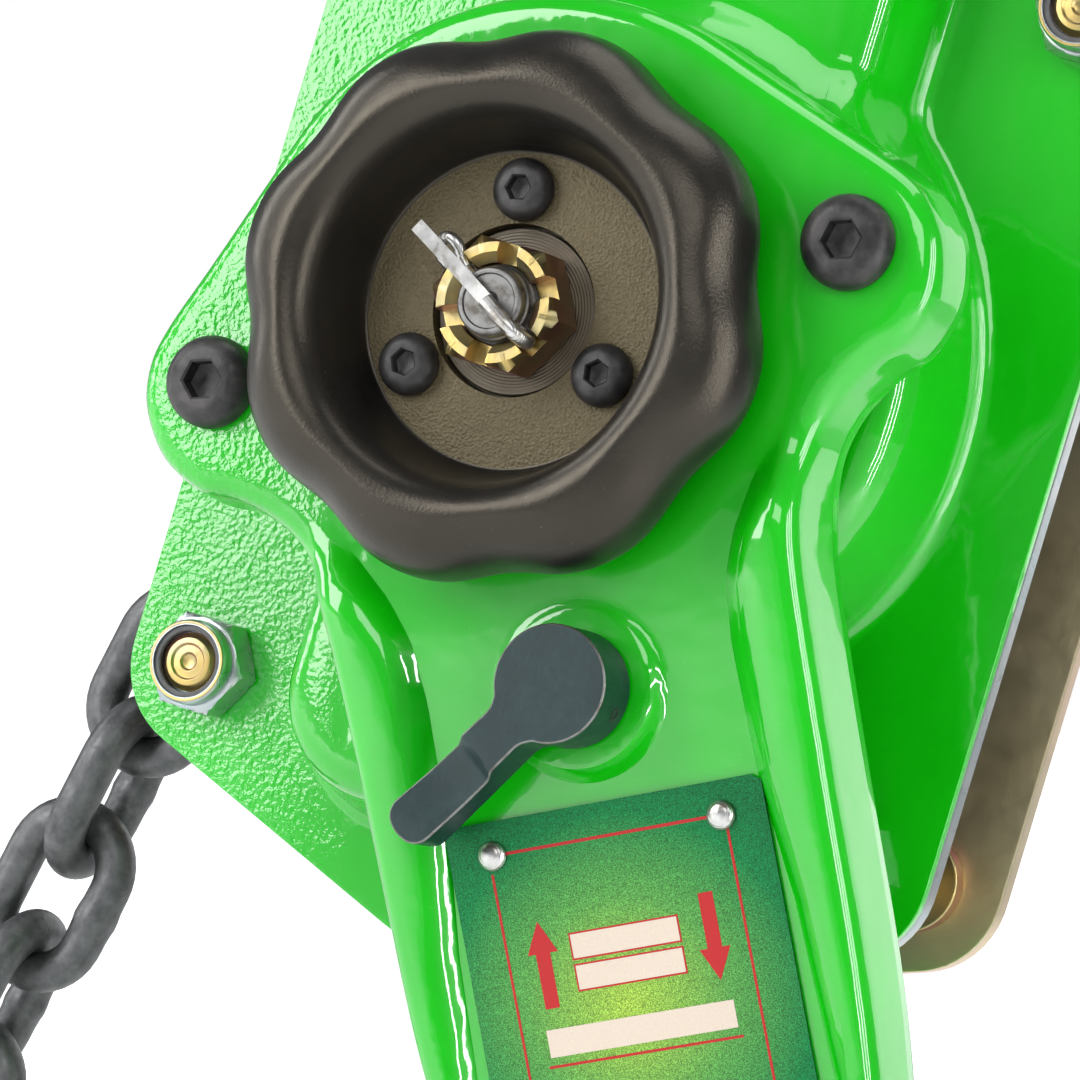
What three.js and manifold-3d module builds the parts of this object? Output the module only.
// Lever chain hoist: two side plates carry a chain wheel, which a lever with a
// ratchet turns through a screw brake and a two-stage gear train. Millimetres.
// Every dimension is stated from the middle of the chain wheel: on its axis, midway between the
// side plates. The finished hoist is moved along that axis, so that its origin is the centre of
// the gear cover's flat back. +Y runs along the axis from the hand wheel to the gear cover, and
// +Z up to the top hook.
import * as THREE from 'three';
import * as BufferGeometryUtils from 'three/addons/utils/BufferGeometryUtils.js';
import Module from 'manifold-3d';

const wasm = await Module();
wasm.setup();

// ---------------------------------------------------------------- dimensions
const GAP = 0.3;                          // clearance between neighbouring pieces
const DEG = Math.PI / 180;

const PLATE = { inner: 23, thick: 5.5, half: 104, cornerZ: -112.4, apexZ: -149.8, round: 21.5 };
const PLATE_TOP = { cornerZ: 117.2, apexZ: 154.6 };
const PLATE_OUT = PLATE.inner + PLATE.thick;
const STAYS = { lower_left: [-82.3, -97.7], lower_right: [82.3, -97.7],
                upper_left: [-83, 102], upper_right: [83, 102] };
const STAY = { thread: 7, shank: 7.5, collar: 12, headFlats: 22, headTall: 9 };
const NUT = { flats: 22, hexTall: 9.4, tall: 13.4, collar: 10 };

const COVER = { thick: 2.5, front: -69, round: 82.5, neck: 48, neckTop: 128, foot: 55,
                footBottom: -119, corner: 26, mouth: 24, step: 10 };
const GEAR_COVER = { halfX: 84, halfZ: 60, corner: 46, rear: 72, flange: 8 };

const CHAIN = { wire: 5, pitch: 30, bow: 12.5, snug: 0.6 };
const SHEAVE = { drum: 30.8, groove: 18.1, grooveHalf: 5.8, cheek: 46, cheekIn: 18.7, cheekOut: 21.8,
                 bore: 11.6, journal: 16, pitch: 39.2, gearSeat: 13, rear: 42, shoulder: 30.5,
                 front: -29 };
const SHAFT = { radius: 11, neck: 8.8, tip: 7.6, tipY: -119.6, rearR: 6, rearY: 62, step: 44 };
const GEARS = { module: 2, pinion: 9, large: 33, small: 10, load: 32, centre: 42, axle: 6, hub: 13 };
// Where the gears lie along the axis, rear face first.
const STAGE = { pinion: [54, 42.8], large: [52, 44], small: [44.5, 31], load: [41, 31], axle: [60, 24] };

const BRAKE = { hubRear: -31, flangeR: 45, flange: 6, sleeveR: 22, sleeve: 18.6, discR: 44, friction: 3,
                ratchetR: 55, ratchetThick: 6, toothTall: 6, teeth: 24 };
const PAWL = { pivotX: 24, pivotZ: 76, boss: 9, pin: 4 };
const CHANGE_GEAR = { tip: 44, root: 39.5, teeth: 24, rear: -78.6, front: -87, clampR: 44, clamp: 7,
                      sleeveR: 21 };

const LEVER_ANGLE = 26.3;                 // the handle's lean from straight down, seen from the front
const LEVER = { plateau: -99, seam: -83, rear: -75, wall: 2.5, topR: 73.5, ear: 76.3, earR: 20.8,
                neckTilt: 8, bendW: -60, shoulderW: -205, tubeW: -262, tube: 19, mouth: 33.8 };
const GRIP = { radius: 17.5, to: -412 };
const LABEL = { halfWide: 37.3, topW: -108, tall: 92, thick: 0.8, rivetU: 27, rivetDrop: 7.5 };
const SELECTOR = { w: -83.7, radius: 13.25, base: -99.3, face: -114, reach: 47, rest: 57.7 };
const WHEEL = { lobes: 8, mean: 60, swell: 1.6, rear: -101.4, front: -127.8, floor: -105.7,
                floorR: 36, ridge: 47, bore: 19.2, screwRing: 26.5 };
const WHEEL_HUB = { flangeR: 32, spigotR: 18.5, front: -103.8, screw: 4 };
const WHEEL_SCREW_ANGLES = [101.7, 221.7, 341.7];
const CASTLE = { flats: 27, rear: -104.1, crown: -112.5, front: -117.5, crownR: 14.6, slot: 4 };

const HOOK = { bow: 34, half: 10, deep: 12, shank: 11, nut: 14.3, nutTall: 14, tipAngle: -28 };
const LATCH = { pivotX: 14.5, pivotDrop: 3, half: 7 };
const YOKE = { half: 20, bore: 11.4, journal: 9, pin: 6, floor: 13, chamber: 17 };
const LABEL_HOLE = 1.8;
const TOP_PIVOT = [0, 118];
const TOP_BOWL_Z = 208;
const LOAD_X = SHEAVE.pitch;
const TAIL_LEAN = 11.5;                   // lean of the slack chain from straight down

// ------------------------------------------------------------------ materials
const paint = (name, color, roughness, metalness) =>
  new THREE.MeshStandardMaterial({ name, color, roughness, metalness });
const GREEN = paint('green_paint', 0x1fb52a, 0.25, 0.0);
const ZINC = paint('bright_zinc', 0xb9bcc0, 0.35, 0.9);
const YELLOW_ZINC = paint('yellow_zinc', 0xb59a5c, 0.4, 0.85);
const BLACK = paint('black_satin', 0x2b2a28, 0.4, 0.2);
const OXIDE = paint('black_oxide', 0x222225, 0.35, 0.7);
const STEEL = paint('machined_steel', 0x8d8f92, 0.35, 0.9);
const CHAIN_STEEL = paint('chain_steel', 0x3d4042, 0.45, 0.8);
const FORGED = paint('forged_hook', 0x1fa02a, 0.35, 0.2);
const RUBBER = paint('grip_rubber', 0x1c1c1e, 0.8, 0.0);
const FRICTION = paint('friction_lining', 0x6d4a35, 0.8, 0.0);
const LABEL_INK = paint('label_plate', 0x1d6b45, 0.35, 0.4);

// ------------------------------------------------------------- shape helpers
function solidOf(geometry) {
  const bare = geometry.index ? geometry.toNonIndexed() : geometry.clone();
  bare.deleteAttribute('normal');
  bare.deleteAttribute('uv');
  const merged = BufferGeometryUtils.mergeVertices(bare, 1e-4);
  return new wasm.Manifold(new wasm.Mesh({
    numProp: 3,
    vertProperties: new Float32Array(merged.attributes.position.array),
    triVerts: new Uint32Array(merged.index.array),
  }));
}

function geometryOf(solid) {
  const mesh = solid.getMesh();
  const geometry = new THREE.BufferGeometry();
  geometry.setAttribute('position', new THREE.BufferAttribute(mesh.vertProperties, 3));
  geometry.setIndex(new THREE.BufferAttribute(mesh.triVerts, 1));
  return geometry;
}

const join = (first, ...rest) => rest.reduce((sum, piece) => sum.add(piece), first);
const cut = (first, ...rest) => rest.reduce((left, piece) => left.subtract(piece), first);

// A mesh from a manifold solid or a three.js geometry.
function piece(name, shape, material) {
  const geometry = shape.isBufferGeometry ? shape : geometryOf(shape);
  const mesh = new THREE.Mesh(geometry, material);
  mesh.name = name;
  return mesh;
}

// A flat shape drawn in X and Z, from y = back forwards to y = front.
function slab(shape, back, front, curveSegments = 4) {
  const geometry = new THREE.ExtrudeGeometry(shape, {
    depth: back - front, bevelEnabled: false, curveSegments });
  return geometry.rotateX(Math.PI / 2).translate(0, back, 0);
}
const slabSolid = (...args) => solidOf(slab(...args));

// A turned piece about the Y axis; profile points are [radius, y] from rear to front.
function turned(profile, segments = 24) {
  const points = profile.map(([r, y]) => new THREE.Vector2(r, -y));
  return new THREE.LatheGeometry(points, segments).rotateX(Math.PI);
}
const turnedSolid = (...args) => solidOf(turned(...args));

function rod(radius, back, front, x = 0, z = 0, segments = 16) {
  return turnedSolid([[0, back], [radius, back], [radius, front], [0, front]], segments)
    .translate([x, 0, z]);
}

function ring(inner, outer, back, front, segments = 24) {
  return turnedSolid([[inner, back], [outer, back], [outer, front], [inner, front], [inner, back]],
    segments);
}

function block(x0, x1, y0, y1, z0, z1) {
  const box = new THREE.BoxGeometry(x1 - x0, y1 - y0, z1 - z0);
  return solidOf(box.translate((x0 + x1) / 2, (y0 + y1) / 2, (z0 + z1) / 2));
}

// Hexagonal bar across flats, with its corners up and down.
function hexBar(flats, back, front) {
  const corner = flats / Math.sqrt(3);
  return turnedSolid([[0, back], [corner, back], [corner, front], [0, front]], 6);
}

// A closed outline through corner points [x, z, radius], each corner an arc.
function roundedOutline(corners) {
  const shape = new THREE.Shape();
  corners.forEach(([x, z, radius], i) => {
    const here = new THREE.Vector2(x, z);
    const before = new THREE.Vector2(...corners.at(i - 1)).sub(here).normalize();
    const after = new THREE.Vector2(...corners[(i + 1) % corners.length]).sub(here).normalize();
    const half = Math.acos(THREE.MathUtils.clamp(before.dot(after), -1, 1)) / 2;
    const reach = radius / Math.tan(half);
    const centre = before.clone().add(after).normalize()
      .multiplyScalar(radius / Math.sin(half)).add(here);
    const enter = before.multiplyScalar(reach).add(here).sub(centre);
    const leave = after.multiplyScalar(reach).add(here).sub(centre);
    const clockwise = enter.cross(leave) < 0;
    shape.absarc(centre.x, centre.y, radius, enter.angle(), leave.angle(), clockwise);
  });
  return shape;
}

// Holes through everything between two y stations.
function drilled(solid, spots, radius, back, front) {
  return spots.reduce((left, [x, z]) => left.subtract(rod(radius, back, front, x, z, 12)), solid);
}

// --------------------------------------------------------------- frame plates
function plateOutline(margin = 0) {
  const half = PLATE.half - margin;
  return roundedOutline([
    [-half, PLATE.cornerZ + margin, PLATE.round - margin], [0, PLATE.apexZ + margin, 60],
    [half, PLATE.cornerZ + margin, PLATE.round - margin],
    [half, PLATE_TOP.cornerZ - margin, PLATE.round - margin], [0, PLATE_TOP.apexZ - margin, 60],
    [-half, PLATE_TOP.cornerZ - margin, PLATE.round - margin]]);
}

function sidePlate(back, front) {
  const blank = slabSolid(plateOutline(), back, front);
  const bored = blank.subtract(rod(SHEAVE.journal + GAP, back + 1, front - 1, 0, 0, 24));
  const stays = drilled(bored, Object.values(STAYS), STAY.thread + GAP, back + 1, front - 1);
  return drilled(stays, [TOP_PIVOT], YOKE.journal + 2 * GAP, back + 1, front - 1);
}

function frontSidePlate() {
  const pawlPins = [[PAWL.pivotX, PAWL.pivotZ], [-PAWL.pivotX, -PAWL.pivotZ]];
  return drilled(sidePlate(-PLATE.inner, -PLATE_OUT), pawlPins, PAWL.pin + GAP, -22, -30);
}

function rearSidePlate() {
  const axles = [[GEARS.centre, 0], [-GEARS.centre, 0]];
  return drilled(sidePlate(PLATE_OUT, PLATE.inner), axles, GEARS.axle + GAP, PLATE_OUT + 1, PLATE.inner - 1);
}

// A stay bolt: head behind the rear plate, collars against both plates, thread in front.
function stayBolt([x, z]) {
  const rear = PLATE_OUT + GAP;
  const inside = PLATE.inner - GAP;
  const front = -(PLATE_OUT + GAP + COVER.thick + GAP + NUT.tall - 1);
  const head = hexBar(STAY.headFlats, rear + STAY.headTall, rear);
  const bar = turnedSolid([
    [0, rear + 2], [STAY.thread, rear + 2], [STAY.thread, inside], [STAY.collar, inside],
    [STAY.collar, inside - 5], [STAY.shank, inside - 5], [STAY.shank, -inside],
    [STAY.thread, -inside], [STAY.thread, front + 2], [STAY.thread - 1.5, front], [0, front]], 14);
  return join(bar, head).translate([x, 0, z]);
}

// A self-locking nut: hexagon, chamfered, with a round collar in front.
function coverNut([x, z]) {
  const back = -(PLATE_OUT + GAP + COVER.thick + GAP);
  const hex = hexBar(NUT.flats, back, back - NUT.hexTall);
  const collar = rod(NUT.collar, back - 1, back - NUT.tall);
  const bore = rod(STAY.thread + GAP, back + 1, back - NUT.tall - 1, 0, 0, 14);
  return join(hex, collar).subtract(bore).translate([x, 0, z]);
}

// ----------------------------------------------------------------- the covers
// The brake cover's domed body, grown or shrunk all round by `grow`.
function coverDome(grow, back) {
  const front = COVER.front - grow;
  const shoulder = front + 12;
  const round = turnedSolid([[0, back], [COVER.round + grow, back], [COVER.round + grow - 3, shoulder],
    [COVER.round + grow - 12, front], [0, front]], 32);
  const neckHalf = COVER.neck + grow;
  const neckTop = COVER.neckTop + grow;
  const neck = slabSolid(roundedOutline([
    [-neckHalf, 0, 4], [neckHalf, 0, 4], [neckHalf, neckTop, COVER.corner],
    [-neckHalf, neckTop, COVER.corner]]), back, front + COVER.step);
  const footHalf = COVER.foot + grow;
  const footLow = COVER.footBottom - grow;
  const foot = slabSolid(roundedOutline([
    [-footHalf, footLow, COVER.corner], [footHalf, footLow, COVER.corner],
    [footHalf, 0, 4], [-footHalf, 0, 4]]), back, front + COVER.step);
  return join(round, neck, foot);
}

function brakeCover() {
  const back = -(PLATE_OUT + GAP);
  const sheet = slabSolid(plateOutline(), back, back - COVER.thick);
  const shell = join(sheet, coverDome(0, back - 1));
  const hollow = cut(shell, coverDome(-COVER.thick, back + 1));
  const mouth = rod(COVER.mouth, COVER.front + 5, COVER.front - 5);
  return drilled(hollow.subtract(mouth), Object.values(STAYS), STAY.thread + GAP, back + 1, back - 5);
}

function gearCover() {
  const back = PLATE_OUT + GAP;
  const outline = grow => roundedOutline([
    [-GEAR_COVER.halfX - grow, -GEAR_COVER.halfZ - grow, GEAR_COVER.corner + grow],
    [GEAR_COVER.halfX + grow, -GEAR_COVER.halfZ - grow, GEAR_COVER.corner + grow],
    [GEAR_COVER.halfX + grow, GEAR_COVER.halfZ + grow, GEAR_COVER.corner + grow],
    [-GEAR_COVER.halfX - grow, GEAR_COVER.halfZ + grow, GEAR_COVER.corner + grow]]);
  const flange = slabSolid(outline(GEAR_COVER.flange), back + COVER.thick, back);
  const dome = slabSolid(outline(0), GEAR_COVER.rear, back);
  const hollow = slabSolid(outline(-COVER.thick), GEAR_COVER.rear - COVER.thick, back - 1);
  return cut(join(flange, dome), hollow);
}

// ---------------------------------------------------------------- chain links
// One link lies in X and Z, its length along Z, its centre at the origin.
function chainLink() {
  const around = 10;
  const torus = new THREE.TorusGeometry(CHAIN.bow, CHAIN.wire, 6, around);
  torus.rotateZ(Math.PI / around);
  const straight = CHAIN.pitch / 2 + CHAIN.wire - CHAIN.bow;
  const points = torus.attributes.position;
  for (let i = 0; i < points.count; i += 1) {
    points.setY(i, points.getY(i) + Math.sign(points.getY(i)) * straight);
  }
  return torus.rotateX(Math.PI / 2);
}

// A link placed at [x, z], its length leaning `lean` degrees from straight down towards -X.
// A crosswise link is turned a quarter about its own length.
function placedLink([x, z], lean, crosswise) {
  const link = chainLink();
  if (crosswise) link.rotateZ(Math.PI / 2);
  return link.rotateY(lean * DEG).translate(x, 0, z);
}

const leanVector = lean => [-Math.sin(lean * DEG), -Math.cos(lean * DEG)];
const stepFrom = ([x, z], lean, distance) => {
  const [dx, dz] = leanVector(lean);
  return [x + dx * distance, z + dz * distance];
};

// The stretch inside the frame: up the load side, four links over the wheel, and down
// to the lower left stay. It doesn't move here, so its links are joined to one another.
const SLACK_LEANS = [4, 24, 46, 62];
function insideRun() {
  const step = CHAIN.pitch + CHAIN.snug;
  const run = [];
  const onWheel = 180 / 4;
  const apothem = SHEAVE.pitch * Math.cos(onWheel / 2 * DEG);
  for (let i = 0; i < 4; i += 1) {
    const angle = (i + 0.5) * onWheel;
    const spot = [apothem * Math.cos(angle * DEG), apothem * Math.sin(angle * DEG)];
    run.push([spot, 180 - angle, i % 2 === 1]);
  }
  for (let i = 0; i < 4; i += 1) {
    run.push([[LOAD_X, CHAIN.snug - CHAIN.pitch / 2 - step * i], 0, i % 2 === 0]);
  }
  let joint = [-SHEAVE.pitch, 0];
  SLACK_LEANS.forEach((lean, i) => {
    run.push([stepFrom(joint, lean, CHAIN.pitch / 2), lean, i % 2 === 1]);
    joint = stepFrom(joint, lean, step);
  });
  return run;
}

function chainInside() {
  return join(...insideRun().map(link => solidOf(placedLink(...link))));
}

// Where free chain starts: the lower wire centre of one link of the inside run.
function lowerWire([centre, lean]) {
  return stepFrom(centre, lean, CHAIN.pitch / 2 + CHAIN.wire);
}

function freeLinks(name, start, lean, count, firstCrosswise) {
  const links = [];
  for (let i = 0; i < count; i += 1) {
    const along = 10 - GAP + i * (CHAIN.pitch - GAP);
    const crosswise = (i % 2 === 1) !== firstCrosswise;
    links.push(piece(`${name}_${i + 1}`, placedLink(stepFrom(start, lean, along), lean, crosswise),
      CHAIN_STEEL));
  }
  return links;
}

// The large end ring that keeps the slack chain from running through, crosswise to its link.
const RING = { radius: 21, wire: 5.5 };
function endRing(start, lean, along) {
  const torus = new THREE.TorusGeometry(RING.radius, RING.wire, 6, 14).rotateY(Math.PI / 2);
  const [x, z] = stepFrom(start, lean, along);
  return torus.rotateY(lean * DEG).translate(x, 0, z);
}

// -------------------------------------------------------------------- gearing
// An involute tooth outline with thinned teeth; `phase` is the angle of one tooth's centre.
function gearShape(teeth, phase, { module = GEARS.module, thin = 0.86, addendum = 0.85 } = {}) {
  const pitch = module * teeth / 2;
  const base = pitch * Math.cos(20 * DEG);
  const involute = r => {
    const angle = Math.acos(Math.min(1, base / r));
    return Math.tan(angle) - angle;
  };
  const half = r => Math.PI / (2 * teeth) * thin + involute(pitch) - involute(Math.max(r, base));
  const tip = pitch + addendum * module;
  const root = pitch - 1.2 * module;
  const low = Math.max(base, root);
  const flank = [[root, half(low)], [tip, half(tip)]];
  const points = [];
  for (let i = 0; i < teeth; i += 1) {
    const middle = phase * DEG + i * 2 * Math.PI / teeth;
    flank.forEach(([r, a]) => points.push([r, middle - a]));
    [...flank].reverse().forEach(([r, a]) => points.push([r, middle + a]));
  }
  return new THREE.Shape(points.map(([r, a]) => new THREE.Vector2(r * Math.cos(a), r * Math.sin(a))));
}

// The phase that puts a gear in mesh with `other` teeth at `otherPhase`, seen at `angle` from it.
function meshedPhase(other, otherPhase, teeth, angle) {
  const across = (angle - otherPhase) * other / 360;
  return angle + 180 - (0.5 - across) * 360 / teeth;
}

function gearSolid(teeth, phase, back, front, options) {
  return slabSolid(gearShape(teeth, phase, options), back, front);
}

function intermediateGear(side) {
  const angle = side > 0 ? 0 : 180;
  const largePhase = meshedPhase(GEARS.pinion, 0, GEARS.large, angle);
  const smallPhase = meshedPhase(GEARS.load, 0, GEARS.small, angle);
  const large = gearSolid(GEARS.large, largePhase, ...STAGE.large);
  const small = gearSolid(GEARS.small, smallPhase, ...STAGE.small);
  const axle = rod(GEARS.axle, ...STAGE.axle, 0, 0, 16);
  return join(large, small, axle).translate([side * GEARS.centre, 0, 0]);
}

function loadGear() {
  const [rear, front] = STAGE.load;
  return cut(gearSolid(GEARS.load, 0, rear, front), rod(GEARS.hub + GAP, rear + 1, front - 1, 0, 0, 24));
}

// The chain wheel: a hollow shaft whose journals run in both side plates.
function loadSheave() {
  const { drum, groove, grooveHalf, cheek, cheekIn, cheekOut, bore, journal } = SHEAVE;
  const { gearSeat, rear, shoulder, front } = SHEAVE;
  return turned([
    [bore, rear], [gearSeat, rear], [gearSeat, shoulder], [journal, shoulder], [journal, cheekOut],
    [cheek, cheekOut], [cheek, cheekIn], [drum, cheekIn], [drum, grooveHalf], [groove, grooveHalf],
    [groove, -grooveHalf], [drum, -grooveHalf], [drum, -cheekIn], [cheek, -cheekIn],
    [cheek, -cheekOut], [journal, -cheekOut], [journal, front], [bore, front], [bore, rear]], 24);
}

// The through shaft: threaded front end, pinion and rear journal behind.
function driveShaft() {
  const bar = turnedSolid([
    [0, SHAFT.rearY], [SHAFT.rearR, SHAFT.rearY], [SHAFT.rearR, SHAFT.step],
    [SHAFT.radius, SHAFT.step - 1], [SHAFT.radius, CHANGE_GEAR.front + 0.2],
    [SHAFT.neck, CHANGE_GEAR.front], [SHAFT.neck, SHAFT.tipY + 3.6], [SHAFT.tip, SHAFT.tipY + 1],
    [SHAFT.tip - 1, SHAFT.tipY], [0, SHAFT.tipY]], 20);
  const pinion = gearSolid(GEARS.pinion, 0, ...STAGE.pinion);
  const centreHole = rod(2, SHAFT.tipY + 3, SHAFT.tipY - 1, 0, 0, 12);
  const pinHole = cotterRod(2.4, 40).translate([0, COTTER_Y, 0]);
  return cut(join(bar, pinion), centreHole, pinHole);
}

// --------------------------------------------------------------- screw brake
function brakeHub() {
  const { hubRear, flangeR, flange, sleeveR, sleeve } = BRAKE;
  const bore = SHAFT.radius + GAP;
  return turned([
    [bore, hubRear], [flangeR, hubRear], [flangeR, hubRear - flange], [sleeveR, hubRear - flange],
    [sleeveR, hubRear - sleeve], [bore, hubRear - sleeve], [bore, hubRear]], 24);
}

const FRICTION_REAR = BRAKE.hubRear - BRAKE.flange - GAP;
const RATCHET_REAR = FRICTION_REAR - BRAKE.friction - GAP;
const FRICTION_FRONT = RATCHET_REAR - BRAKE.ratchetThick - GAP;
const CLAMP_REAR = FRICTION_FRONT - BRAKE.friction - GAP;

// Saw teeth: each tooth rises along its back and drops at its face.
function sawShape(teeth, tip, root) {
  const points = [];
  for (let i = 0; i < teeth; i += 1) {
    const start = i * 360 / teeth;
    points.push([tip, start], [root, start + 1.5]);
  }
  return new THREE.Shape(points.map(([r, a]) =>
    new THREE.Vector2(r * Math.cos(a * DEG), r * Math.sin(a * DEG))));
}

function ratchetDisc() {
  const saw = sawShape(BRAKE.teeth, BRAKE.ratchetR, BRAKE.ratchetR - BRAKE.toothTall);
  const blank = slabSolid(saw, RATCHET_REAR, RATCHET_REAR - BRAKE.ratchetThick);
  return blank.subtract(rod(BRAKE.sleeveR + GAP, -30, -60, 0, 0, 24));
}

// A brake pawl: boss and finger on its own pin, drawn lifted just clear of the tooth tips.
const PAWL_TOE = [[-4, 50], [-6.5, 53], [0, 66]];
function brakePawl() {
  const back = RATCHET_REAR - GAP;
  const front = back - BRAKE.ratchetThick + 2 * GAP;
  const heel = [[PAWL.pivotX, PAWL.pivotZ + PAWL.boss * 0.7],
    [PAWL.pivotX - PAWL.boss * 0.5, PAWL.pivotZ - PAWL.boss * 0.9]];
  const finger = new THREE.Shape([...heel, ...PAWL_TOE].map(([x, z]) => new THREE.Vector2(x, z)));
  const arm = slabSolid(finger, back, front);
  const boss = rod(PAWL.boss, back, front, PAWL.pivotX, PAWL.pivotZ);
  const pin = rod(PAWL.pin, -PLATE.inner - 2, front - 4, PAWL.pivotX, PAWL.pivotZ, 16);
  return cut(join(arm, boss, pin), rod(BRAKE.ratchetR + 2 * GAP, -30, -60, 0, 0, 72));
}

// ----------------------------------------------------- change gear, wheel hub
const CHANGE_PHASE = LEVER_ANGLE - 90 + 180 / CHANGE_GEAR.teeth;   // a tooth gap faces the handle
function changeGearShape(grow = 0) {
  const points = [];
  const pitch = 360 / CHANGE_GEAR.teeth;
  for (let i = 0; i < CHANGE_GEAR.teeth; i += 1) {
    const middle = CHANGE_PHASE + i * pitch;
    points.push([CHANGE_GEAR.root + grow, middle - 0.30 * pitch - grow],
      [CHANGE_GEAR.tip + grow, middle - 0.17 * pitch - grow],
      [CHANGE_GEAR.tip + grow, middle + 0.17 * pitch + grow],
      [CHANGE_GEAR.root + grow, middle + 0.30 * pitch + grow]);
  }
  return new THREE.Shape(points.map(([r, a]) =>
    new THREE.Vector2(r * Math.cos(a * DEG), r * Math.sin(a * DEG))));
}

function changeGear() {
  const { clampR, clamp, sleeveR } = CHANGE_GEAR;
  const clampDisc = rod(clampR, CLAMP_REAR, CLAMP_REAR - clamp, 0, 0, 24);
  const sleeve = rod(sleeveR, CLAMP_REAR - clamp + 1, CHANGE_GEAR.rear - 1, 0, 0, 24);
  const teeth = slabSolid(changeGearShape(), CHANGE_GEAR.rear, CHANGE_GEAR.front);
  return cut(join(clampDisc, sleeve, teeth), rod(SHAFT.radius + GAP, -40, -100, 0, 0, 24));
}

function wheelHub() {
  const { flangeR, spigotR, front, screw } = WHEEL_HUB;
  const bore = SHAFT.neck + GAP;
  const back = CHANGE_GEAR.front - GAP;
  const step = WHEEL.rear + GAP;
  const hub = turnedSolid([[bore, back], [flangeR, back], [flangeR, step], [spigotR, step],
    [spigotR, front], [bore, front], [bore, back]], 24);
  return drilled(hub, screwSpots(), screw + GAP, back - 2, step - 1);
}

// ---------------------------------------------------------------- hand wheel
const polar = (radius, degrees) => [radius * Math.cos(degrees * DEG), radius * Math.sin(degrees * DEG)];
function screwSpots() {
  return WHEEL_SCREW_ANGLES.map(angle => polar(WHEEL.screwRing, angle));
}

// A dished wheel whose outer wall swells into lobes.
function handWheel() {
  const profile = [[WHEEL.bore, WHEEL.rear], [56, WHEEL.rear], [WHEEL.mean, -112],
    [57, -122], [WHEEL.ridge, WHEEL.front], [41, -123], [WHEEL.floorR, WHEEL.floor],
    [WHEEL.bore, WHEEL.floor], [WHEEL.bore, WHEEL.rear]];
  const geometry = turned(profile, 48);
  const points = geometry.attributes.position;
  for (let i = 0; i < points.count; i += 1) {
    const x = points.getX(i);
    const z = points.getZ(i);
    const radius = Math.hypot(x, z);
    const share = THREE.MathUtils.clamp((radius - WHEEL.ridge) / (WHEEL.mean - WHEEL.ridge), 0, 1);
    const wave = Math.cos(WHEEL.lobes * (Math.atan2(z, x) - 87 * DEG));
    const grow = 1 + share * WHEEL.swell * wave / radius;
    points.setXYZ(i, x * grow, points.getY(i), z * grow);
  }
  return drilled(solidOf(geometry), screwSpots(), WHEEL_HUB.screw + GAP, -95, -110);
}

// A button-head screw with a hexagon socket: its head sits at y = seat, its shank behind.
function buttonScrew(seat, headR, headTall, shankR, shankBack, socketFlats) {
  const dome = turnedSolid([[0, shankBack], [shankR, shankBack], [shankR, seat], [headR, seat],
    [headR, seat - headTall * 0.25], [headR * 0.84, seat - headTall * 0.7],
    [headR * 0.55, seat - headTall], [0, seat - headTall]], 16);
  return dome.subtract(hexBar(socketFlats, seat - headTall * 0.35, seat - headTall - 1));
}

function wheelScrew([x, z]) {
  return buttonScrew(WHEEL.floor - GAP, 7, 4.4, WHEEL_HUB.screw, CHANGE_GEAR.front - 3, 5)
    .translate([x, 0, z]);
}

// ------------------------------------------------------ castle nut and cotter
const COTTER_Y = (CASTLE.crown + CASTLE.front) / 2;
const COTTER_ANGLE = -30;                 // the pin's run across the shaft, seen from the front

// A round rod through the shaft along the cotter's direction, centred on the axis.
function cotterRod(radius, length) {
  const bar = new THREE.CylinderGeometry(radius, radius, length, 10);
  return solidOf(bar.rotateZ(Math.PI / 2).rotateY(-COTTER_ANGLE * DEG));
}

function castleNut() {
  const corner = CASTLE.flats / Math.sqrt(3);
  const outside = turnedSolid([[0, CASTLE.rear], [corner, CASTLE.rear], [corner, CASTLE.crown + 1.5],
    [CASTLE.crownR, CASTLE.crown], [CASTLE.crownR, CASTLE.front], [0, CASTLE.front]], 6);
  const slots = [0, 1, 2].map(i => {
    const bar = new THREE.BoxGeometry(40, CASTLE.crown - CASTLE.front + 1, CASTLE.slot);
    return solidOf(bar.rotateY(-(COTTER_ANGLE + 60 * i) * DEG)
      .translate(0, (CASTLE.crown + CASTLE.front - 1) / 2, 0));
  });
  const bore = rod(SHAFT.neck + GAP, -100, -120, 0, 0, 24);
  return cut(outside.rotate([0, -COTTER_ANGLE, 0]), bore, ...slots);
}

// The split pin: an eye at the upper left, its body through the slot, both ends bent over.
function cotterPin() {
  const body = cotterRod(1.7, 34);
  const eye = new THREE.TorusGeometry(3.2, 1.5, 6, 12).rotateX(Math.PI / 2)
    .translate(-19, 0, 0).rotateY(-COTTER_ANGLE * DEG);
  const prong = new THREE.CylinderGeometry(1.4, 1.4, 9, 8).rotateX(Math.PI / 2).rotateX(Math.PI / 2)
    .translate(16.2, -3.8, 0).rotateY(-COTTER_ANGLE * DEG);
  return join(body, solidOf(eye), solidOf(prong)).translate([0, COTTER_Y, 0]);
}

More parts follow.
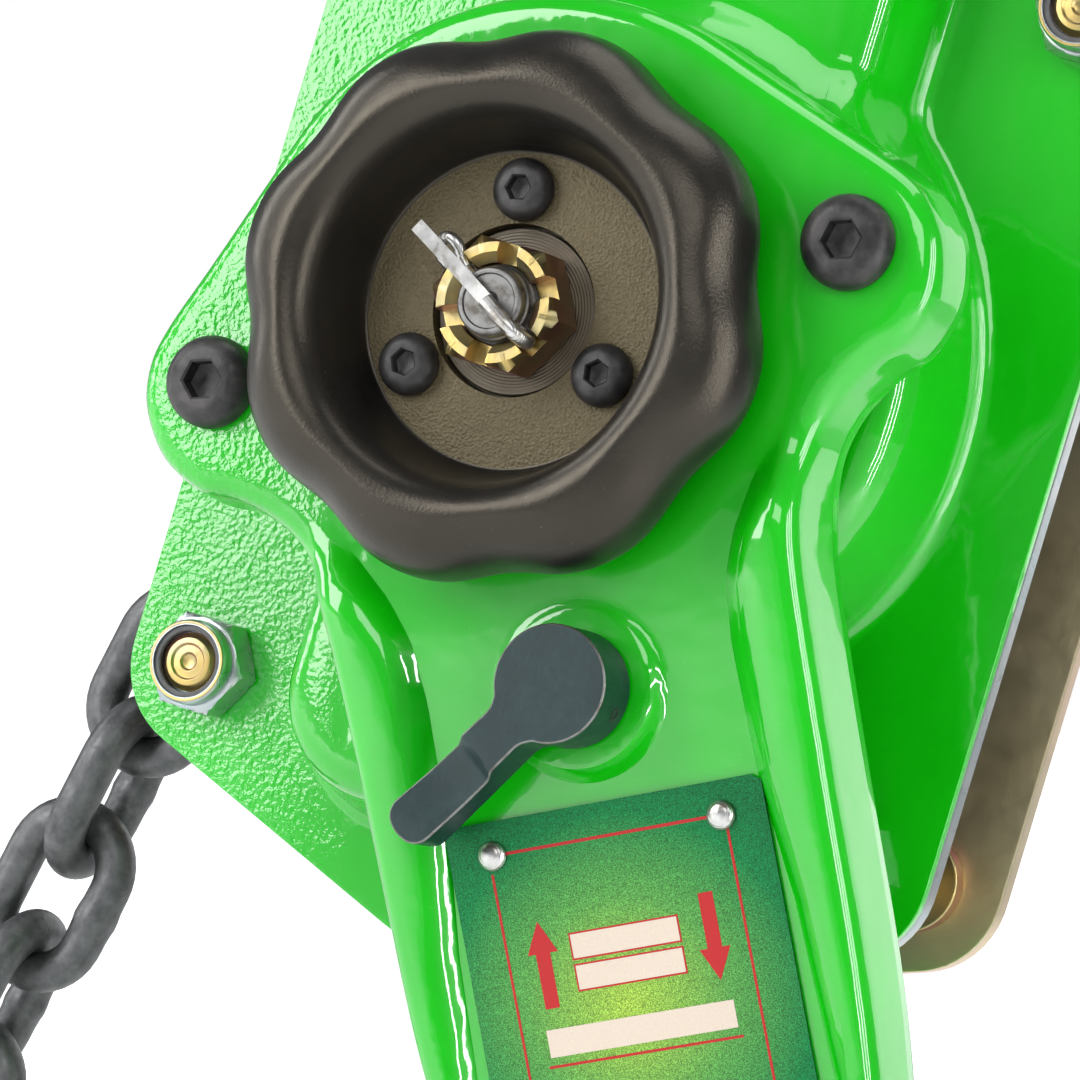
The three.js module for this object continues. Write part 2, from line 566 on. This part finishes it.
// ---------------------------------------------------------------------- lever
// The lever's own frame: origin on the axis, +Z away from the handle, +X to its right.
function leverOutline(inset = 0) {
  const half = new THREE.Path();
  half.moveTo(0, LEVER.topR - inset);
  half.absarc(0, 0, LEVER.topR - inset, 90 * DEG, 46 * DEG, true);
  half.absarc(LEVER.ear, 0, LEVER.earR - inset, 52 * DEG, -62 * DEG, true);
  half.bezierCurveTo(71 - inset, -32 + inset, 58 - inset, -44, 56.5 - inset, -70);
  half.lineTo(52 - inset, -176);
  half.bezierCurveTo(50 - inset, LEVER.shoulderW, 26 - inset, -226, LEVER.tube - inset, LEVER.tubeW + 8);
  half.lineTo(LEVER.tube - inset, LEVER.tubeW + inset);
  const right = half.getPoints(4);
  const left = right.slice(1).reverse().map(p => new THREE.Vector2(-p.x, p.y));
  return new THREE.Shape([...right, ...left]);
}

// A slab of the lever whose part below the bend line leans back by the neck's tilt.
function leverSlab(inset, back, front) {
  const flat = slabSolid(leverOutline(inset), back, front);
  const head = flat.trimByPlane([0, 0, 1], LEVER.bendW);
  const hinge = [0, -LEVER.plateau, -LEVER.bendW];
  const unhinge = hinge.map(value => -value);
  const neck = flat.translate(hinge).rotate([LEVER.neckTilt, 0, 0]).translate(unhinge)
    .trimByPlane([0, 0, -1], -LEVER.bendW - 0.05);
  return join(head, neck);
}

function leverShell(back, front, wall) {
  const opens = front === LEVER.plateau;
  const blank = leverSlab(0, back, front);
  const hollow = opens ? leverSlab(LEVER.wall, back + 3, front + wall)
    : leverSlab(LEVER.wall, back - wall, front - 3);
  const bosses = [-LEVER.ear, LEVER.ear].map(u => rod(11, back, front, u, 0, 20).intersect(blank));
  return join(cut(blank, hollow), ...bosses);
}

function leverDrill(solid, mouth) {
  const screws = drilled(solid, [[-LEVER.ear, 0], [LEVER.ear, 0]], 6 + GAP, -70, -104);
  return screws.subtract(rod(mouth, -70, -104, 0, 0, 36));
}

function leverFrontShell() {
  const shell = leverShell(LEVER.seam - GAP / 2, LEVER.plateau, LEVER.wall);
  const open = leverDrill(shell, LEVER.mouth).subtract(rod(6.3, -90, -104, 0, SELECTOR.w, 20));
  return cut(open, ...rivetSpots().map(spot => onNeck(rod(LABEL_HOLE, 8, -8, ...spot, 10))));
}

function leverRearShell() {
  return leverDrill(leverShell(LEVER.rear, LEVER.seam + GAP / 2, LEVER.wall), 24);
}

// Moves a piece drawn on the flat front (y = 0 there) onto the tilted neck.
function onNeck(solid) {
  return solid.translate([0, 0, -LEVER.bendW]).rotate([LEVER.neckTilt, 0, 0])
    .translate([0, LEVER.plateau, LEVER.bendW]);
}

const rivetSpots = () => [-1, 1].map(side => [side * LABEL.rivetU, LABEL.topW - LABEL.rivetDrop]);

function labelPlate() {
  const { halfWide, topW, tall, thick } = LABEL;
  const sheet = slabSolid(roundedOutline([[-halfWide, topW - tall, 2], [halfWide, topW - tall, 2],
    [halfWide, topW, 2], [-halfWide, topW, 2]]), -GAP, -GAP - thick, 2);
  return onNeck(cut(sheet, ...rivetSpots().map(spot => rod(LABEL_HOLE, 2, -4, ...spot, 10))));
}

function labelRivet([u, w]) {
  const seat = -2 * GAP - LABEL.thick;
  return onNeck(turnedSolid([[0, 1.5], [1.5, 1.5], [1.5, seat], [3.25, seat], [2.9, seat - 1],
    [1.7, seat - 1.9], [0, seat - 2.2]], 14).translate([u, 0, w]));
}

function leverScrew(u) {
  return buttonScrew(LEVER.plateau - GAP, 10.5, 6.6, 6, LEVER.rear - 2, 8).translate([u, 0, 0]);
}

// The rubber grip: a ribbed sleeve around the handle's end, closed at the bottom.
function leverGrip() {
  const y = onNeckY(LEVER.tubeW) + (LEVER.rear - LEVER.plateau) / 2;
  const rings = [[0, GRIP.to], [GRIP.radius - 4, GRIP.to], [GRIP.radius, GRIP.to + 5]];
  for (let w = GRIP.to + 20; w < LEVER.tubeW - 10; w += 40) {
    rings.push([GRIP.radius, w], [GRIP.radius - 1.5, w + 2], [GRIP.radius - 1.5, w + 8],
      [GRIP.radius, w + 10]);
  }
  rings.push([GRIP.radius, LEVER.tubeW - 3], [GRIP.radius - 3, LEVER.tubeW - GAP], [0, LEVER.tubeW - GAP]);
  const points = rings.map(([r, w]) => new THREE.Vector2(r, w));
  return new THREE.LatheGeometry(points, 14).rotateX(Math.PI / 2).translate(0, y, 0);
}

const onNeckY = w => LEVER.plateau + Math.tan(LEVER.neckTilt * DEG) * (LEVER.bendW - w);

// --------------------------------------------------- direction selector, pawl
// Both turn about the selector's shaft; drawn here pointing straight down the handle.
function selectorKnob() {
  const hub = turnedSolid([[0, SELECTOR.base], [SELECTOR.radius, SELECTOR.base],
    [SELECTOR.radius, SELECTOR.face + 1], [SELECTOR.radius - 1, SELECTOR.face],
    [0, SELECTOR.face]], 24);
  const arm = roundedOutline([[-5, -SELECTOR.reach + 2, 4], [5, -SELECTOR.reach + 2, 4], [8, -40, 3],
    [5, -26, 6], [7, 0, 2], [-7, 0, 2], [-5, -26, 6], [-8, -40, 3]]);
  const shaft = rod(6, -79, SELECTOR.base - 1, 0, 0, 20);
  return join(hub, slabSolid(arm, SELECTOR.face + 10, SELECTOR.face + 2.5), shaft);
}

const CLAW = { reach: 47.2, spread: 80.7, half: 5.5 };
function changePawl(restTurn) {
  const back = CHANGE_GEAR.rear - 0.6;
  const front = CHANGE_GEAR.front + 0.6;
  const claw = side => {
    const arm = new THREE.Shape([[-CLAW.half, 0], [CLAW.half, 0], [CLAW.half, CLAW.reach - 9],
      [side * CLAW.half * 0.4 + 1.6, CLAW.reach], [side * CLAW.half * 0.4 - 1.6, CLAW.reach],
      [-CLAW.half, CLAW.reach - 9]].map(([x, z]) => new THREE.Vector2(x, z)));
    return slabSolid(arm, back, front).rotate([0, side * CLAW.spread, 0]);
  };
  const hub = rod(12, back, front, 0, 0, 20);
  const teeth = slabSolid(changeGearShape(0.4), -70, -100).rotate([0, LEVER_ANGLE, 0])
    .translate([0, 0, -SELECTOR.w]).rotate([0, -restTurn, 0]);
  return cut(join(hub, claw(-1), claw(1)), teeth, rod(6 + GAP, -70, -100, 0, 0, 20));
}

// ---------------------------------------------------------------------- hooks
// A hook below its swivel nut: the nut's top is at z = 0, the load line is the Z axis.
function hookBody(neckLength) {
  const centre = -neckLength - HOOK.bow;
  const path = new THREE.CurvePath();
  path.add(new THREE.LineCurve3(new THREE.Vector3(0, 0, -31), new THREE.Vector3(0, 0, -neckLength + 14)));
  const arc = [];
  for (let angle = 66; angle >= -180 + HOOK.tipAngle + 18; angle -= 12) {
    arc.push(new THREE.Vector3(-HOOK.bow * Math.cos(angle * DEG), 0,
      centre + HOOK.bow * Math.sin(angle * DEG)));
  }
  path.add(new THREE.CatmullRomCurve3([new THREE.Vector3(0, 0, -neckLength + 14),
    new THREE.Vector3(0, 0, -neckLength + 4), ...arc]));
  const section = new THREE.Shape();
  for (let i = 0; i < 8; i += 1) {
    const angle = (i + 0.5) * 45 * DEG;
    section[i ? 'lineTo' : 'moveTo'](HOOK.half * Math.cos(angle), HOOK.deep * Math.sin(angle));
  }
  const bow = new THREE.ExtrudeGeometry(section, { steps: 26, extrudePath: path, bevelEnabled: false });
  const turn = Math.PI / 2;
  const nut = new THREE.CylinderGeometry(HOOK.nut, HOOK.nut, HOOK.nutTall, 6).rotateX(turn)
    .translate(0, 0, -HOOK.nutTall / 2);
  const shank = new THREE.CylinderGeometry(HOOK.shank, HOOK.shank, neckLength - 6, 20).rotateX(turn)
    .translate(0, 0, -neckLength / 2 - 3);
  const seat = block(-6, 6, -6, 6, centre - HOOK.bow + HOOK.deep - 1.4, centre);
  return cut(join(solidOf(bow), solidOf(nut), solidOf(shank)), seat);
}

// The latch: a bent plate hinged beside the neck, its free end inside the hook's point.
function hookLatch(neckLength) {
  const pivot = [LATCH.pivotX, -neckLength - LATCH.pivotDrop];
  const free = [HOOK.bow - HOOK.deep - 1.2, -neckLength - HOOK.bow + 4];
  const outline = new THREE.Shape([[pivot[0] - 3, pivot[1]], [pivot[0] + 2, pivot[1] + 4],
    [free[0] + 0.4, free[1]], [free[0] - 3.4, free[1] - 3]].map(([x, z]) => new THREE.Vector2(x, z)));
  return slabSolid(outline, LATCH.half, -LATCH.half);
}

// A swivel block: a bore for the hook's shank below, a chamber for its nut, solid above.
function swivelBlock(top, bottom) {
  const chamber = block(-YOKE.half - 1, YOKE.half + 1, -15.5, 15.5, bottom + YOKE.floor,
    bottom + YOKE.floor + YOKE.chamber);
  const bore = new THREE.CylinderGeometry(YOKE.bore, YOKE.bore, 20, 20).rotateX(Math.PI / 2)
    .translate(0, 0, bottom + 8);
  const body = block(-YOKE.half, YOKE.half, -YOKE.half, YOKE.half, bottom, top);
  return cut(body, chamber, solidOf(bore));
}

function topYoke() {
  const solid = swivelBlock(24, -18).rotate([180, 0, 0]);
  const journals = join(rod(YOKE.journal, PLATE_OUT, 18), rod(YOKE.journal, -18, -PLATE_OUT));
  return join(solid, journals);
}

function bottomYoke(pinZ, top, bottom) {
  const fork = block(-YOKE.half - 1, YOKE.half + 1, -5.8, 5.8, pinZ - 18, top + 1);
  const pin = rod(YOKE.pin, 18, -18, 0, 0, 18).translate([0, 0, pinZ]);
  return join(cut(swivelBlock(top, bottom), fork), pin);
}

// ------------------------------------------------------------------- assembly
const hoist = new THREE.Group();
hoist.position.y = -GEAR_COVER.rear;

// The guide below the chain wheel: a tongue in the wheel's groove on a bar between the plates.
function chainStripper() {
  const tongue = block(-9, 9, -4.6, 4.6, -64, -19.4);
  const bar = block(-12, 12, -PLATE.inner + GAP, PLATE.inner - GAP, -72, -63);
  return join(tongue, bar);
}

function frictionDisc(rear) {
  return ring(BRAKE.sleeveR + 0.4, BRAKE.discR, rear, rear - BRAKE.friction);
}

const frame = new THREE.Group();
frame.add(
  piece('front_side_plate', frontSidePlate(), ZINC),
  piece('rear_side_plate', rearSidePlate(), YELLOW_ZINC),
  piece('brake_cover', brakeCover(), GREEN),
  piece('gear_cover', gearCover(), GREEN),
  piece('chain_stripper', chainStripper(), STEEL),
  piece('chain_inside', chainInside(), CHAIN_STEEL),
);
for (const [corner, spot] of Object.entries(STAYS)) {
  frame.add(piece(`stay_bolt_${corner}`, stayBolt(spot), YELLOW_ZINC));
  frame.add(piece(`cover_nut_${corner}`, coverNut(spot), ZINC));
}
hoist.add(frame);

const drive = new THREE.Group();
drive.add(
  piece('drive_shaft', driveShaft(), STEEL),
  piece('castle_nut', castleNut(), YELLOW_ZINC),
  piece('cotter_pin', cotterPin(), STEEL),
  piece('brake_hub', brakeHub(), STEEL),
  piece('friction_disc_rear', frictionDisc(FRICTION_REAR), FRICTION),
  piece('ratchet_disc', ratchetDisc(), STEEL),
  piece('friction_disc_front', frictionDisc(FRICTION_FRONT), FRICTION),
  piece('brake_pawl_upper', brakePawl(), STEEL),
  piece('brake_pawl_lower', brakePawl().rotate([0, 180, 0]), STEEL),
  piece('change_gear', changeGear(), STEEL),
  piece('load_sheave', loadSheave(), STEEL),
  piece('load_gear', loadGear(), STEEL),
  piece('intermediate_gear_right', intermediateGear(1), STEEL),
  piece('intermediate_gear_left', intermediateGear(-1), STEEL),
);
hoist.add(drive);

const wheel = new THREE.Group();
wheel.add(piece('hand_wheel', handWheel(), BLACK), piece('wheel_hub', wheelHub(), BLACK));
screwSpots().forEach((spot, i) => wheel.add(piece(`wheel_screw_${i + 1}`, wheelScrew(spot), OXIDE)));
hoist.add(wheel);

const selector = new THREE.Group();
selector.position.set(0, 0, SELECTOR.w);
selector.rotation.y = SELECTOR.rest * DEG;
selector.add(
  piece('change_lever', selectorKnob(), BLACK),
  piece('change_pawl', changePawl(SELECTOR.rest), STEEL),
);

const lever = new THREE.Group();
lever.rotation.y = -LEVER_ANGLE * DEG;
lever.add(
  piece('lever_front_shell', leverFrontShell(), GREEN),
  piece('lever_rear_shell', leverRearShell(), GREEN),
  piece('lever_screw_left', leverScrew(-LEVER.ear), OXIDE),
  piece('lever_screw_right', leverScrew(LEVER.ear), OXIDE),
  piece('label_plate', labelPlate(), LABEL_INK),
  piece('lever_grip', leverGrip(), RUBBER),
  selector,
);
rivetSpots().forEach((spot, i) =>
  lever.add(piece(`label_rivet_${i ? 'right' : 'left'}`, labelRivet(spot), ZINC)));
hoist.add(lever);

const topHook = new THREE.Group();
topHook.position.set(TOP_PIVOT[0], 0, TOP_PIVOT[1]);
const TOP_NUT_Z = -11.7;                  // the top hook's nut above the yoke's pivot, upside down
const TOP_NECK = TOP_BOWL_Z - TOP_PIVOT[1] - HOOK.bow - TOP_NUT_Z;
const upper = new THREE.Group();
upper.rotation.x = Math.PI;
upper.position.z = TOP_NUT_Z;
upper.add(piece('top_hook', hookBody(TOP_NECK), FORGED), piece('top_latch', hookLatch(TOP_NECK), ZINC));
topHook.add(piece('top_yoke', topYoke(), OXIDE), upper);
hoist.add(topHook);

const slack = new THREE.Group();
const TAIL_LINKS = 5;
const tailStart = lowerWire(insideRun().at(-1));
slack.add(...freeLinks('tail_link', tailStart, TAIL_LEAN, TAIL_LINKS, false));
const lastWire = (TAIL_LINKS - 1) * (CHAIN.pitch - GAP) + 10 - GAP + CHAIN.pitch / 2 + CHAIN.wire;
const ringAlong = lastWire - CHAIN.wire - RING.wire - GAP + RING.radius;
slack.add(piece('tail_end_ring', endRing(tailStart, TAIL_LEAN, ringAlong), CHAIN_STEEL));
hoist.add(slack);

const load = new THREE.Group();
const LOAD_LINKS = 4;
const LAST_ON_LOAD_SIDE = 7;
const loadStart = lowerWire(insideRun()[LAST_ON_LOAD_SIDE]);
load.add(...freeLinks('load_link', loadStart, 0, LOAD_LINKS, true));
const lastWireZ = loadStart[1] - (LOAD_LINKS - 1) * (CHAIN.pitch - GAP) - 10 + GAP - 20;
const BLOCK_TOP = 11;                     // of the bottom yoke, above its chain pin
const BLOCK_BOTTOM = -58;
const bottom = new THREE.Group();
bottom.position.set(LOAD_X, 0, lastWireZ + BLOCK_TOP + GAP);
bottom.add(piece('bottom_yoke', bottomYoke(0, BLOCK_TOP, BLOCK_BOTTOM), OXIDE));
const lower = new THREE.Group();
lower.position.z = BLOCK_BOTTOM + YOKE.floor + HOOK.nutTall + 1;
const BOTTOM_NECK = 50;
lower.add(piece('bottom_hook', hookBody(BOTTOM_NECK), FORGED),
  piece('bottom_latch', hookLatch(BOTTOM_NECK), ZINC));
bottom.add(lower);
load.add(bottom);
hoist.add(load);

const part = new THREE.Group();
part.add(hoist);
export default part;
